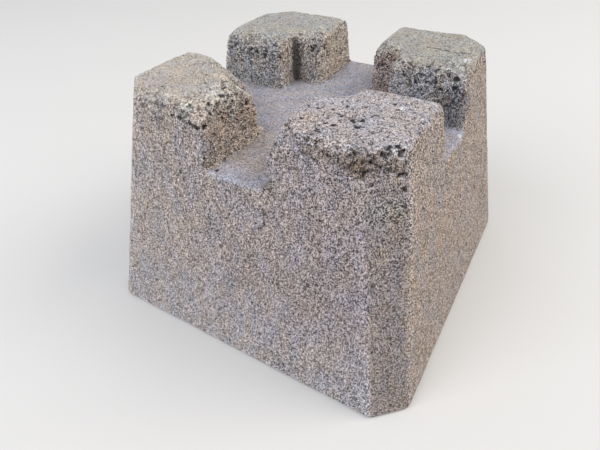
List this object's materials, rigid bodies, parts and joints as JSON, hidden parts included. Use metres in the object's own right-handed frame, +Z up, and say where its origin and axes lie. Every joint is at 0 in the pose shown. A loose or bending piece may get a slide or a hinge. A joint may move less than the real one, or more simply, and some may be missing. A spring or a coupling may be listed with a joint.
{
  "type": "concrete deck block",
  "caption": "Tapered square footing of cast concrete, with corner posts that leave crossed slots for joists and a square recess for a post.",
  "frame": {"origin": "centre of the square underside", "axes": "+Z up out of the post recess; the joist slots run along X and along Y"},
  "size_m": [0.2658, 0.2658, 0.1778],
  "materials": {
    "concrete": "dry-cast concrete, coarse and pitted, weathered grey-brown"
  },
  "bodies": {
    "root": {"block": "concrete"}
  },
  "joints": []
}
